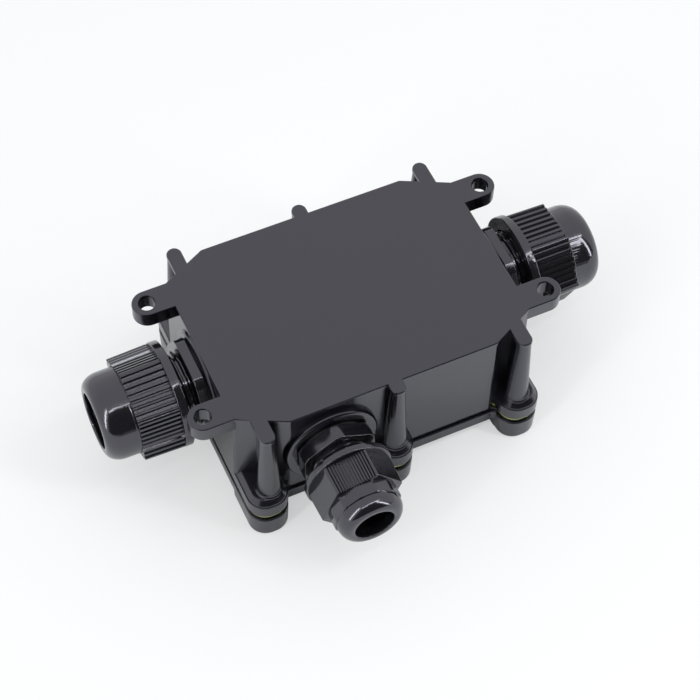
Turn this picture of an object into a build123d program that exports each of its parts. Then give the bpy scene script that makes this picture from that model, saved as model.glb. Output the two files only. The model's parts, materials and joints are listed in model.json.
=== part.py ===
from build123d import *
import os
from dataclasses import dataclass
from math import cos, pi, radians, sin, tan

# Waterproof junction box with three cable glands, lying on its lid with its back face up.
# Millimetres. The back face is z = 0 and the lid lies below it. +X runs to the right-hand
# large gland and -Y to the small gland.

# Housing walls
body_length = 81.6
body_width = 57.0
body_depth = 30.0
corner_cut_length = 12.6
corner_cut_width = 6.3
corner_round = 1.4
wall_draft = 0.8
side_wall = 2.4
back_wall = 2.6

# The back plate stands a little proud of the walls under it, which leaves a fine shadow line
plate_lip = 1.3
lip_overhang = 0.2
lip_chamfer = 0.25

# Mounting ears
ear_reach = 6.2
ear_inset = 10.0
ear_width = 7.8
ear_thickness = 4.8
ear_hole_radius = 2.15

# Screw posts: six tapered columns with a finger tab at the back and a lobed foot at the lid
post_inset = 5.8
post_reach = 1.5
tab_radius = 2.0
post_tip_radius = 1.8
post_foot_radius = 3.1
web_thickness = 1.6
lobe_radius = 4.9
lobe_height = 4.0
lobe_flare = 1.2
shoulder_height = 1.6
shoulder_step = 0.35
shoulder_slope = 34.0

# Gasket and lid
gasket_thickness = 1.4
gasket_inset = 0.6
gasket_inner_inset = 1.5
gasket_hole_radius = 1.9
lid_rim_height = 1.0
lid_rim_inset = 0.7
lid_edge_depth = 4.6
lid_boss_depth = 8.1
lid_panel_depth = 7.6
lid_panel_margin = 8.0
lid_panel_slope = 25.0
lid_draft = 1.5
lid_wall = 2.4
lid_boss_round = 0.8

# Lid screws
screw_radius = 1.5
screw_length = 16.0
screw_tip_room = 1.0
screw_head_radius = 2.8
screw_head_height = 2.0
screw_cross_width = 0.7
screw_cross_length = 3.0
screw_cross_depth = 1.1
screw_clearance = 0.08
head_recess_radius = 3.2
head_recess_depth = 3.6
lid_hole_radius = 1.75

# Terminal block, which hangs on two stand-offs under the back wall
pole_count = 3
pole_pitch = 12.0
pole_width = 7.4
block_length = 18.0
block_height = 13.0
web_length = 9.0
web_height = 8.5
standoff_height = 3.0
standoff_radius = 2.6
barrel_depth = 5.4
barrel_radius = 2.7
barrel_length = 15.6
wire_radius = 1.7
clamp_screw_spacing = 9.6
clamp_screw_radius = 1.35
clamp_screw_length = 3.6
clamp_head_radius = 1.9
clamp_head_height = 1.4
clamp_hole_radius = 2.1
block_screw_radius = 1.25
block_screw_length = 11.5
block_screw_head_radius = 2.1
block_screw_head_height = 1.4
slot_width = 0.6
slot_depth = 0.7
small_clearance = 0.06

# What both sizes of cable gland share
thread_clearance = 0.07
hex_crown_angle = 30.0
mouth_lip = 0.9
cage_clearance = 0.15
cage_slot_width = 1.0
rib_gap_share = 0.45
collar_boss_depth = 3.0
collar_round = 0.5
passage_chamfer = 0.4
cage_ring_inset = 0.6

# The glands sit near the middle of the walls' height, the large ones a little higher
gland_axis_shift = 0.5
large_collar_inset = 0.7
small_collar_inset = 2.4


@dataclass
class Gland:
    """One cable gland, measured outwards along its axis from the face of its collar."""

    name: str
    face: Plane
    nut_turn: float
    hex_turn: float
    collar_radius: float
    collar_proud: float
    collar_boss_wall: float
    nut_flats: float
    grip_wall: float
    hex_length: float
    hex_crown: float
    washer_inset: float
    washer_thickness: float
    thread_gap: float
    tube_length: float
    tube_wall: float
    finger_wall: float
    seal_length: float
    seal_wall: float
    passage_step: float
    cage_fingers: int
    cage_finger_length: float
    cage_ring_length: float
    cage_ring_wall: float
    ring_reach: float
    ring_length: float
    nut_length: float
    ribbed_every: int
    rib_count: int
    rib_pitch: float
    rib_depth: float
    neck_sides: int
    neck_step: float
    neck_length: float
    dome_step: float
    dome_length: float
    dome_round: float
    nose_width: float

    @property
    def thread_radius(self):
        return self.nut_flats / 2 - self.grip_wall

    @property
    def thread_bore(self):
        return self.thread_radius + thread_clearance

    @property
    def collar_boss_radius(self):
        return self.thread_radius + self.collar_boss_wall

    @property
    def washer_radius(self):
        return self.nut_flats / 2 - self.washer_inset

    @property
    def seal_radius(self):
        return self.tube_bore - self.finger_wall

    @property
    def cable_radius(self):
        return self.seal_radius - self.seal_wall

    @property
    def passage_radius(self):
        return self.seal_radius - self.passage_step

    @property
    def cage_ring_radius(self):
        return self.thread_radius - cage_ring_inset

    @property
    def ring_radius(self):
        return self.nut_flats / 2 + self.ring_reach

    @property
    def neck_radius(self):
        return self.nut_flats / 2 - self.neck_step

    @property
    def dome_radius(self):
        return self.neck_radius - self.dome_step

    @property
    def mouth_radius(self):
        return self.dome_radius - self.nose_width

    @property
    def inner_end(self):
        return -(self.collar_proud + side_wall + collar_boss_depth)

    @property
    def hex_end(self):
        return self.washer_thickness + self.hex_length

    @property
    def tube_end(self):
        return self.hex_end + self.tube_length

    @property
    def tube_bore(self):
        return self.thread_radius - self.tube_wall

    @property
    def seat(self):
        return self.tube_end - self.seal_length

    @property
    def nut_start(self):
        return self.hex_end + self.thread_gap

    @property
    def ribs_start(self):
        return self.nut_start + self.ring_length

    @property
    def neck_start(self):
        return self.ribs_start + self.nut_length

    @property
    def dome_start(self):
        return self.neck_start + self.neck_length

    @property
    def mouth(self):
        return self.dome_start + self.dome_length


def splay(depth):
    """How far a drafted wall has moved out at a depth, measured from the plate's edge."""
    return (depth - plate_lip) * tan(radians(wall_draft)) - lip_overhang


large = dict(
    hex_turn=0.0,
    collar_radius=body_depth / 2 - large_collar_inset,
    collar_proud=0.7,
    collar_boss_wall=2.4,
    nut_flats=24.0,
    grip_wall=1.8,
    hex_length=2.6,
    hex_crown=0.2,
    washer_inset=0.4,
    washer_thickness=0.5,
    thread_gap=3.4,
    tube_length=11.3,
    tube_wall=1.6,
    finger_wall=1.5,
    seal_length=9.2,
    seal_wall=2.35,
    passage_step=0.3,
    cage_fingers=10,
    cage_finger_length=8.0,
    cage_ring_length=2.4,
    cage_ring_wall=4.0,
    ring_reach=2.0,
    ring_length=2.3,
    nut_length=10.7,
    ribbed_every=1,
    rib_count=9,
    rib_pitch=1.5,
    rib_depth=0.5,
    neck_sides=0,
    neck_step=0.35,
    neck_length=0.5,
    dome_step=0.15,
    dome_length=8.0,
    dome_round=4.6,
    nose_width=4.1,
)
small = dict(
    hex_turn=31.8,
    collar_radius=body_depth / 2 - small_collar_inset,
    collar_proud=1.7,
    collar_boss_wall=2.0,
    nut_flats=19.0,
    grip_wall=1.9,
    hex_length=4.0,
    hex_crown=0.2,
    washer_inset=0.3,
    washer_thickness=0.5,
    thread_gap=3.6,
    tube_length=7.8,
    tube_wall=1.3,
    finger_wall=1.3,
    seal_length=6.0,
    seal_wall=1.75,
    passage_step=0.5,
    cage_fingers=8,
    cage_finger_length=6.0,
    cage_ring_length=2.0,
    cage_ring_wall=3.4,
    ring_reach=2.0,
    ring_length=1.8,
    nut_length=7.7,
    ribbed_every=2,
    rib_count=13,
    rib_pitch=0.74,
    rib_depth=0.35,
    neck_sides=12,
    neck_step=0.7,
    neck_length=3.4,
    dome_step=0.2,
    dome_length=3.9,
    dome_round=3.4,
    nose_width=3.35,
)
large_axis_depth = body_depth / 2 - gland_axis_shift
small_axis_depth = body_depth / 2 + gland_axis_shift
small_axis_x = -17.5
large_face_x = body_length / 2 + splay(large_axis_depth) + large["collar_proud"]
small_face_y = body_width / 2 + splay(small_axis_depth) + small["collar_proud"]

left_gland = Gland(
    "left_gland",
    Plane((-large_face_x, 0, -large_axis_depth), x_dir=(0, 0, 1), z_dir=(-1, 0, 0)),
    nut_turn=-23.2,
    **large,
)
right_gland = Gland(
    "right_gland",
    Plane((large_face_x, 0, -large_axis_depth), x_dir=(0, 0, 1), z_dir=(1, 0, 0)),
    nut_turn=-7.4,
    **large,
)
front_gland = Gland(
    "front_gland",
    Plane((small_axis_x, -small_face_y, -small_axis_depth), x_dir=(0, 0, 1), z_dir=(0, -1, 0)),
    nut_turn=9.1,
    **small,
)
glands = [left_gland, right_gland, front_gland]

# Heights and places that follow from the sizes
ear_spacing_x = body_length + 2 * ear_reach
ear_spacing_y = body_width - 2 * ear_inset
screw_spacing_x = body_length - 2 * post_inset
screw_spacing_y = body_width + 2 * post_reach
flange_length = body_length + 2 * splay(body_depth)
flange_width = body_width + 2 * splay(body_depth)
lobe_top = lobe_height - body_depth
shoulder_top = lobe_top + shoulder_height
lid_top = -body_depth - gasket_thickness
boss_end = lid_top - lid_boss_depth
screw_seat = boss_end + head_recess_depth
screw_tip = screw_seat + screw_length
block_top = -back_wall - standoff_height
web_end = block_top - web_height
barrel_axis = block_top - barrel_depth
corner_wall_y = body_width / 2 - corner_cut_width

screw_places = [
    (x, y)
    for y in (-screw_spacing_y / 2, screw_spacing_y / 2)
    for x in (-screw_spacing_x / 2, 0.0, screw_spacing_x / 2)
]
ear_places = [
    (x, y)
    for y in (-ear_spacing_y / 2, ear_spacing_y / 2)
    for x in (-ear_spacing_x / 2, ear_spacing_x / 2)
]
pole_places = [(i - (pole_count - 1) / 2) * pole_pitch for i in range(pole_count)]
block_screw_places = [y + pole_pitch / 2 for y in pole_places[:-1]]
clamp_screw_places = [
    (x, y) for y in pole_places for x in (-clamp_screw_spacing / 2, clamp_screw_spacing / 2)
]


def side(value):
    """+1 or -1: which side of the middle a place is on."""
    return 1 if value > 0 else -1


def turned(*outline):
    """A solid of revolution about local Z from (radius, height) points."""
    return revolve(Plane.XZ * make_face(Polyline(*outline, close=True)), Axis.Z)


def rod(radius, low, high):
    """A round rod along local Z."""
    return extrude(Pos(0, 0, low) * Circle(radius), high - low)


def ring(outer, inner, low, high):
    """A round tube along local Z."""
    return extrude(Pos(0, 0, low) * (Circle(outer) - Circle(inner)), high - low)


def down(outline, top, depth, draft=0.0):
    """Extrude an outline downwards from a height; a negative draft widens it."""
    return extrude(Pos(0, 0, top) * outline, depth, dir=(0, 0, -1), taper=draft)


def hexagon(flats, turn):
    """A hexagon across flats, with the middle of one flat at the angle turn."""
    return RegularPolygon(flats / 2, 6, major_radius=False, rotation=turn - 30)


def crowned(flats, crown, low, high):
    """A turned blank for a hexagon whose corners are cut to a cone at the outer end."""
    corner = flats / 2 / cos(pi / 6) + crown
    tip = flats / 2 - crown
    slope = (corner - tip) * tan(radians(hex_crown_angle))
    return turned((0, low), (corner, low), (corner, high - slope), (tip, high), (0, high))


def body_outline(inset=0.0):
    """The housing in plan: a rectangle whose four corners are cut at a slant."""
    x, y = body_length / 2, body_width / 2
    quarter = [(x, y - corner_cut_width), (x - corner_cut_length, y)]
    half = quarter + [(-a, b) for a, b in reversed(quarter)]
    outline = make_face(Polyline(*half, *[(-a, -b) for a, b in half], close=True))
    return offset(outline, -inset, kind=Kind.INTERSECTION) if inset else outline


def lobe_outline(x, y, radius):
    """One screw lobe in plan, run back under the wall; a corner lobe reaches the end wall."""
    reach = abs(y) - corner_wall_y + side_wall
    inner = abs(x) - radius
    outer = flange_length / 2 - (lobe_radius - radius) if x else radius
    width = outer - inner
    middle = side(x) * (outer + inner) / 2 if x else 0.0
    end = SlotOverall(width, 2 * radius) if x else Circle(radius)
    return Pos(middle, y) * end + Pos(middle, y - side(y) * reach / 2) * Rectangle(width, reach)


def flange_outline():
    """The lid joint in plan: the full rectangle and its six lobes, with flared roots."""
    outline = Rectangle(flange_length, flange_width)
    for x, y in screw_places:
        outline += lobe_outline(x, y, lobe_radius)
    roots = [
        corner
        for corner in outline.vertices()
        if abs(abs(corner.Y) - flange_width / 2) < lip_overhang
        and abs(corner.X) < screw_spacing_x / 2
    ]
    return fillet(roots, min(lobe_flare, 0.9 * (screw_spacing_y - flange_width) / 2))


def plate_outline():
    """The back plate in plan, with a round-ended finger tab over each screw post."""
    outline = fillet(body_outline().vertices(), corner_round)
    for x, y in screw_places:
        reach = abs(y) - corner_wall_y
        outline += Pos(x, y) * Circle(tab_radius)
        outline += Pos(x, y - side(y) * reach / 2) * Rectangle(2 * tab_radius, reach)
    return outline


def ear_solid(x, y):
    """One mounting ear, run in under the plate, without its hole."""
    reach = ear_spacing_x / 2 - body_length / 2 + side_wall
    outline = Circle(ear_width / 2)
    outline += Pos(-side(x) * reach / 2, 0) * Rectangle(reach, ear_width)
    return Pos(x, y) * down(outline, 0, ear_thickness)


def screw_post(x, y):
    """A tapered post from its tab down to its lobe, with a thin web back to the wall."""
    top = -plate_lip / 2
    foot = lobe_top - lobe_height / 2
    post = turned(
        (0, top),
        (post_tip_radius, top),
        (post_foot_radius, shoulder_top),
        (post_foot_radius, foot),
        (0, foot),
    )
    reach = abs(y) - corner_wall_y
    web = Pos(0, -side(y) * reach / 2) * Rectangle(web_thickness, reach)
    return Pos(x, y) * (post + down(web, top, top - lobe_top))


def lobe(x, y):
    """The lobed foot of one post: an upright edge, a small step and a sloping shoulder."""
    step = lobe_outline(x, y, lobe_radius - shoulder_step)
    shoulder = extrude(Pos(0, 0, lobe_top) * step, shoulder_height, taper=shoulder_slope)
    return down(lobe_outline(x, y, lobe_radius), lobe_top, lobe_height) + shoulder


def collar(gland):
    """The round pad on a wall that a gland screws into, with a rounded front edge."""
    pad = rod(gland.collar_radius, -side_wall, 0)
    front = pad.faces().sort_by(Axis.Z)[-1]
    return gland.face * fillet(front.edges(), collar_round)


def collar_boss(gland):
    """The thick ring behind a collar, on the inside of the wall."""
    start = -(gland.collar_proud + side_wall / 2)
    return gland.face * rod(gland.collar_boss_radius, gland.inner_end, start)


def housing_holes():
    """The gland bores, the blind screw holes and the holes in the ears."""
    holes = [gland.face * rod(gland.thread_bore, gland.inner_end - 1, 1) for gland in glands]
    screw_hole = rod(screw_radius + screw_clearance, -body_depth - 1, screw_tip + screw_tip_room)
    holes += [Pos(x, y) * screw_hole for x, y in screw_places]
    block_hole_end = web_end + block_screw_length + small_clearance
    block_hole = rod(block_screw_radius + small_clearance, block_top - 1, block_hole_end)
    holes += [Pos(0, y) * block_hole for y in block_screw_places]
    ear_hole = rod(ear_hole_radius, -ear_thickness - 1, 1)
    return holes + [Pos(x, y) * ear_hole for x, y in ear_places]


def rear_housing():
    """The moulded housing: back plate, drafted walls, ears, posts, lobes and collars."""
    plate = down(plate_outline(), 0, plate_lip)
    back_face = plate.faces().sort_by(Axis.Z)[-1]
    housing = chamfer(back_face.edges(), lip_chamfer)
    wall = fillet(body_outline(lip_overhang).vertices(), corner_round)
    housing += down(wall, -plate_lip, body_depth - plate_lip, -wall_draft)
    housing += [ear_solid(x, y) for x, y in ear_places]
    housing += [screw_post(x, y) + lobe(x, y) for x, y in screw_places]
    housing += [collar(gland) for gland in glands]
    inside = body_outline(side_wall)
    housing -= down(inside, -back_wall, body_depth, -wall_draft)
    room = down(inside, -back_wall / 2, body_depth - back_wall, -wall_draft)
    housing += [collar_boss(gland) & room for gland in glands]
    standoff = rod(standoff_radius, block_top, -back_wall / 2)
    housing += [Pos(0, y) * standoff for y in block_screw_places]
    return housing - housing_holes()


def lid_gasket():
    """The flat seal between housing and lid, which runs round each screw."""
    outline = offset(flange_outline(), -gasket_inset) - body_outline(gasket_inner_inset)
    outline -= [Pos(x, y) * Circle(gasket_hole_radius) for x, y in screw_places]
    return down(outline, -body_depth, gasket_thickness)


def lid():
    """The lid: a drafted plate, six screw bosses and a raised panel, hollow on the inside."""
    outline = flange_outline()
    edge_top = lid_top - lid_rim_height
    model = down(outline, edge_top, lid_edge_depth - lid_rim_height, lid_draft)
    model += down(offset(outline, -lid_rim_inset), lid_top, lid_edge_depth)
    tall = down(outline, edge_top, lid_boss_depth - lid_rim_height, lid_draft)
    for x, y in screw_places:
        boss = down(lobe_outline(x, y, lobe_radius), lid_top, lid_boss_depth) & tall
        end = boss.faces().sort_by(Axis.Z)[0]
        model += fillet(end.edges(), lid_boss_round)
    panel_length = flange_length - 2 * lid_panel_margin
    panel_width = flange_width - 2 * lid_panel_margin
    panel = Rectangle(panel_length, panel_width)
    panel_top = lid_top - lid_edge_depth
    model += down(panel, panel_top, lid_panel_depth - lid_edge_depth, lid_panel_slope)
    pocket = Rectangle(panel_length - 2 * lid_wall, panel_width - 2 * lid_wall)
    model -= down(pocket, lid_top, lid_edge_depth)
    model -= down(pocket, panel_top, lid_panel_depth - lid_edge_depth - lid_wall, lid_panel_slope)
    recess = rod(head_recess_radius, boss_end - 1, screw_seat)
    hole = rod(lid_hole_radius, boss_end, lid_top + 1)
    return model - [Pos(x, y) * (recess + hole) for x, y in screw_places]


def lid_screw(x, y):
    """One lid screw, head down, with a cross recess."""
    head_end = screw_seat - screw_head_height
    head = rod(screw_head_radius, head_end, screw_seat)
    cross = Box(screw_cross_width, screw_cross_length, 2 * screw_cross_depth)
    cross += Box(screw_cross_length, screw_cross_width, 2 * screw_cross_depth)
    screw = head + rod(screw_radius, screw_seat, screw_tip) - Pos(0, 0, head_end) * cross
    return Pos(x, y) * screw


def gland_washer(gland):
    """The flat seal between a gland's hexagon and its collar."""
    bore = gland.thread_bore
    return gland.face * ring(gland.washer_radius, bore, 0, gland.washer_thickness)


def gland_body(gland):
    """The gland's body: a threaded stub through the wall, a hexagon and a threaded tube."""
    low, high = gland.washer_thickness, gland.hex_end
    nut = extrude(Pos(0, 0, low) * hexagon(gland.nut_flats, gland.hex_turn), high - low)
    body = nut & crowned(gland.nut_flats, gland.hex_crown, low, high)
    body += rod(gland.thread_radius, gland.inner_end, gland.tube_end)
    mouth = gland.tube_bore + passage_chamfer
    passage = turned(
        (0, gland.inner_end - 1),
        (gland.passage_radius, gland.inner_end - 1),
        (gland.passage_radius, gland.seat),
        (gland.tube_bore, gland.seat),
        (gland.tube_bore, gland.tube_end - passage_chamfer),
        (mouth, gland.tube_end),
        (mouth, gland.tube_end + 1),
        (0, gland.tube_end + 1),
    )
    return gland.face * (body - passage)


def gland_seal(gland):
    """The rubber sleeve that closes on the cable."""
    end = gland.seat + gland.seal_length
    return gland.face * ring(gland.seal_radius, gland.cable_radius, gland.seat, end)


def gland_cage(gland):
    """The clamping cage: a ring that the dome nut pushes, with fingers round the seal."""
    end = gland.neck_start
    start = end - gland.cage_ring_length
    inner = gland.seal_radius + cage_clearance
    outer = gland.tube_bore - cage_clearance
    fingers = Circle(outer) - Circle(inner)
    for i in range(gland.cage_fingers // 2):
        slot = Rectangle(2 * gland.thread_radius, cage_slot_width)
        fingers -= Rot(0, 0, i * 360 / gland.cage_fingers) * slot
    tips = start - gland.cage_finger_length
    fingers = extrude(Pos(0, 0, tips) * fingers, end - tips)
    ring_inner = gland.cage_ring_radius - gland.cage_ring_wall
    return gland.face * (fingers + ring(gland.cage_ring_radius, ring_inner, start, end))


def ribbed_hexagon(gland):
    """The dome nut's grip in plan: a hexagon with fine grooves along some of its flats."""
    outline = hexagon(gland.nut_flats, gland.nut_turn)
    groove = Rectangle(2 * gland.rib_depth, rib_gap_share * gland.rib_pitch)
    for flat in range(0, 6, gland.ribbed_every):
        for i in range(gland.rib_count - 1):
            shift = (i - (gland.rib_count - 2) / 2) * gland.rib_pitch
            turn = gland.nut_turn + flat * 60
            outline -= Rot(0, 0, turn) * Pos(gland.nut_flats / 2, shift) * groove
    return outline


def dome(gland):
    """The nut's rounded nose, from the end of its grip to the mouth, with its inside."""
    low, high = gland.mouth - gland.dome_round, gland.mouth
    wide, tip = gland.dome_radius, gland.mouth_radius + mouth_lip
    half = (tip + (wide - tip) * cos(pi / 4), low + (high - low) * sin(pi / 4))
    inner_low = gland.neck_start
    inner_wide = gland.cage_ring_radius - cage_clearance
    inner_high = high - mouth_lip
    inner_half = (
        gland.mouth_radius + (inner_wide - gland.mouth_radius) * cos(pi / 4),
        inner_low + (inner_high - inner_low) * sin(pi / 4),
    )
    outline = [
        Line((inner_wide, inner_low), (wide, inner_low)),
        Line((wide, inner_low), (wide, low)),
        ThreePointArc((wide, low), half, (tip, high)),
        Line((tip, high), (gland.mouth_radius, high)),
        Line((gland.mouth_radius, high), (gland.mouth_radius, inner_high)),
        ThreePointArc((gland.mouth_radius, inner_high), inner_half, (inner_wide, inner_low)),
    ]
    return revolve(Plane.XZ * make_face(outline), Axis.Z)


def dome_nut(gland):
    """The dome nut: a flange ring, a ribbed hexagonal grip, a neck and a rounded nose."""
    low, high = gland.ribs_start, gland.neck_start
    grip = extrude(Pos(0, 0, low) * ribbed_hexagon(gland), high - low)
    nut = grip + rod(gland.ring_radius, gland.nut_start, low)
    nut -= rod(gland.thread_bore, gland.nut_start - 1, high + 1)
    nut += dome(gland)
    if gland.neck_sides:
        neck = RegularPolygon(gland.neck_radius, gland.neck_sides, major_radius=False)
    else:
        neck = Circle(gland.neck_radius)
    neck -= Circle((gland.dome_radius + gland.cage_ring_radius) / 2)
    return gland.face * (nut + extrude(Pos(0, 0, high) * neck, gland.neck_length))


def terminal_block():
    """The terminal block's body: three poles joined by low webs, bored for their barrels."""
    pole = Rectangle(block_length, pole_width)
    block = down(Rectangle(web_length, (pole_count - 1) * pole_pitch), block_top, web_height)
    block += [Pos(0, y) * down(pole, block_top, block_height) for y in pole_places]
    bore = Rot(0, 90, 0) * rod(barrel_radius + small_clearance, -block_length, block_length)
    block -= [Pos(0, y, barrel_axis) * bore for y in pole_places]
    clamp_hole = rod(clamp_hole_radius, block_top - block_height - 1, barrel_axis)
    block -= [Pos(x, y) * clamp_hole for x, y in clamp_screw_places]
    fixing_hole = rod(block_screw_radius + small_clearance, web_end - 1, block_top + 1)
    return block - [Pos(0, y) * fixing_hole for y in block_screw_places]


def terminal_barrel(y):
    """One pole's brass barrel, bored for the wires and for its two clamp screws."""
    barrel = Rot(0, 90, 0) * ring(barrel_radius, wire_radius, -barrel_length / 2, barrel_length / 2)
    hole = rod(clamp_screw_radius + small_clearance, -2 * barrel_radius, 0)
    barrel -= [Pos(x, 0) * hole for x in (-clamp_screw_spacing / 2, clamp_screw_spacing / 2)]
    return Pos(0, y, barrel_axis) * barrel


def slotted_screw(radius, length, head_radius, head_height, seat):
    """A slotted cheese-head screw, head down, with the underside of its head at seat."""
    screw = rod(radius, seat, seat + length) + rod(head_radius, seat - head_height, seat)
    slot = Box(2.2 * head_radius, slot_width, 2 * slot_depth)
    return screw - Pos(0, 0, seat - head_height) * slot


def clamp_screw(x, y):
    """One screw that clamps a wire in its barrel, shown just entering the wire's bore."""
    tip = barrel_axis - wire_radius + screw_clearance
    seat = tip - clamp_screw_length
    screw = slotted_screw(
        clamp_screw_radius, clamp_screw_length, clamp_head_radius, clamp_head_height, seat
    )
    return Pos(x, y) * screw


def block_screw(y):
    """One screw that holds the terminal block to its stand-off."""
    screw = slotted_screw(
        block_screw_radius,
        block_screw_length,
        block_screw_head_radius,
        block_screw_head_height,
        web_end,
    )
    return Pos(0, y) * screw


def pieces():
    """Every piece of the box, by name."""
    made = {
        "rear_housing": rear_housing(),
        "lid_gasket": lid_gasket(),
        "lid": lid(),
        "terminal_block": terminal_block(),
    }
    for i, (x, y) in enumerate(screw_places, 1):
        made[f"lid_screw_{i}"] = lid_screw(x, y)
    for gland in glands:
        made[f"{gland.name}_body"] = gland_body(gland)
        made[f"{gland.name}_washer"] = gland_washer(gland)
        made[f"{gland.name}_seal"] = gland_seal(gland)
        made[f"{gland.name}_cage"] = gland_cage(gland)
        made[f"{gland.name}_dome_nut"] = dome_nut(gland)
    for i, y in enumerate(pole_places, 1):
        made[f"terminal_barrel_{i}"] = terminal_barrel(y)
    for i, (x, y) in enumerate(clamp_screw_places, 1):
        made[f"clamp_screw_{i}"] = clamp_screw(x, y)
    for i, y in enumerate(block_screw_places, 1):
        made[f"block_screw_{i}"] = block_screw(y)
    return made


os.makedirs("parts", exist_ok=True)
for name, piece in pieces().items():
    export_step(piece, f"parts/{name}.step")
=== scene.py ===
import json
from dataclasses import dataclass
from math import acos, atan2, cos, floor, pi, radians, sin, tan

import bmesh
import bpy
from bpy.props import FloatProperty, FloatVectorProperty, PointerProperty
from mathutils import Matrix, Vector

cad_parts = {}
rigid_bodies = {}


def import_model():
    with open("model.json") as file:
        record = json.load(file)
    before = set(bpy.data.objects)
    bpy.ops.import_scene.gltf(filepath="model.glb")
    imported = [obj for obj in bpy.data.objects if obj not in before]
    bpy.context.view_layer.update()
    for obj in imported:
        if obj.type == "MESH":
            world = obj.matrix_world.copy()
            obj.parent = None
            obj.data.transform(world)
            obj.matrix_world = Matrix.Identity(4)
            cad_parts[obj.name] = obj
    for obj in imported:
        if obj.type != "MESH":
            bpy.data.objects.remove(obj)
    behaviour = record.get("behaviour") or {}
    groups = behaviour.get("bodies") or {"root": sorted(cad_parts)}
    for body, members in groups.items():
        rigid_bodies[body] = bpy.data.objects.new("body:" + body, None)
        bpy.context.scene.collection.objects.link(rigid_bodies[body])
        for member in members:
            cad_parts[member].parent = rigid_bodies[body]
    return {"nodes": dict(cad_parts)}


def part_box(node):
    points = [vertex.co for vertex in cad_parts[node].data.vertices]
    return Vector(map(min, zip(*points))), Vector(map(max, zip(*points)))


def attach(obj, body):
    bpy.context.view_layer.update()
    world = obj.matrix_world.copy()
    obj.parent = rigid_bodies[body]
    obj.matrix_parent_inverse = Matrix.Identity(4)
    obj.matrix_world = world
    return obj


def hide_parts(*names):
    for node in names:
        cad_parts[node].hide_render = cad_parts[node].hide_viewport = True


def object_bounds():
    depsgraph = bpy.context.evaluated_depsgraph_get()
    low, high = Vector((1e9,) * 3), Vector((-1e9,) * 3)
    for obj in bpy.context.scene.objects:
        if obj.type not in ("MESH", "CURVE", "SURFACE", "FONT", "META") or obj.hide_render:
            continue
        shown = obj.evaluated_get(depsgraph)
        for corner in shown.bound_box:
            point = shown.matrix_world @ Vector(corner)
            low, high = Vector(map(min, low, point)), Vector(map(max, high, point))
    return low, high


bl_info = {
    "name": "Waterproof junction box",
    "version": (1, 0, 0),
    "blender": (4, 5, 0),
    "location": "View3D > Sidebar > Junction box",
    "description": "Dresses a waterproof junction box with three cable glands, seen from its back",
    "category": "Object",
}

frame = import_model()
cad_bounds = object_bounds()
MM = 0.001

# The frame's own heights, so that every piece seats on its neighbour
HOUSING_LOW, HOUSING_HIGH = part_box("rear_housing")
GASKET_LOW, GASKET_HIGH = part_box("lid_gasket")
LID_LOW, LID_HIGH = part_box("lid")

# Housing
BODY_LENGTH = 81.6 * MM
BODY_WIDTH = 57.0 * MM
CORNER_CUT_LENGTH = 12.6 * MM
CORNER_CUT_WIDTH = 6.3 * MM
CORNER_ROUND = 1.4 * MM
WALL_DRAFT = tan(radians(0.8))
SIDE_WALL = 2.4 * MM
CAVITY_ROUND = 3.2 * MM
BACK_WALL = 2.6 * MM
PLATE_LIP = 1.3 * MM
PLATE_LOW_ROUND = 0.1 * MM
LIP_OVERHANG = 0.2 * MM
EAR_X = 47.0 * MM
EAR_Y = 18.5 * MM
EAR_WIDTH = 7.8 * MM
EAR_THICKNESS = 4.8 * MM
EAR_HOLE_RADIUS = 2.15 * MM
SCREW_X = 35.0 * MM
SCREW_Y = 30.0 * MM
TAB_RADIUS = 2.0 * MM
POST_TIP_RADIUS = 1.8 * MM
POST_FOOT_RADIUS = 3.1 * MM
POST_FILLET = 0.7 * MM
WEB_THICKNESS = 1.6 * MM
LOBE_RADIUS = 4.9 * MM
LOBE_HEIGHT = 4.0 * MM
LOBE_FLARE = 1.2 * MM
SHOULDER_HEIGHT = 1.6 * MM
SHOULDER_STEP = 0.35 * MM
SHOULDER_INSET = 1.45 * MM
SCREW_HOLE_RADIUS = 1.58 * MM
SCREW_HOLE_DEPTH = 11.1 * MM
STANDOFF_RADIUS = 2.6 * MM
STANDOFF_Y = 6.0 * MM
STANDOFF_HEIGHT = 3.0 * MM
STANDOFF_BORE = 1.31 * MM
STANDOFF_BORE_END = 2.54 * MM

# Gasket and lid
GASKET_INSET = 0.35 * MM
GASKET_RECESS = 1.2 * MM
GASKET_INNER_INSET = 1.5 * MM
GASKET_HOLE_RADIUS = 1.9 * MM
GASKET_INNER_ROUND = 3.0 * MM
GASKET_BEAD_SHARE = 0.45
LID_RIM_HEIGHT = 1.0 * MM
LID_RIM_INSET = 0.7 * MM
LID_EDGE_DEPTH = 4.6 * MM
LID_DRAFT = tan(radians(1.5))
LID_BOSS_ROUND = 0.8 * MM
PANEL_MARGIN = 8.0 * MM
PANEL_DEPTH = 7.6 * MM
PANEL_SLOPE = tan(radians(25.0))
PANEL_ROUND = 3 * MM
LID_WALL = 2.4 * MM
HEAD_RECESS_RADIUS = 3.2 * MM
HEAD_RECESS_DEPTH = 3.6 * MM
LID_HOLE_RADIUS = 1.75 * MM

# How far a cutter, or a piece joined to another, runs past their common face
OVERRUN = 1 * MM

# How far the hidden ends of lobes and ears stop short of the wall's inner face
CORNER_LOBE_ROOT = 1.0 * MM
MIDDLE_LOBE_ROOT = 1.2 * MM
EAR_ROOT = 0.6 * MM

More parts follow.
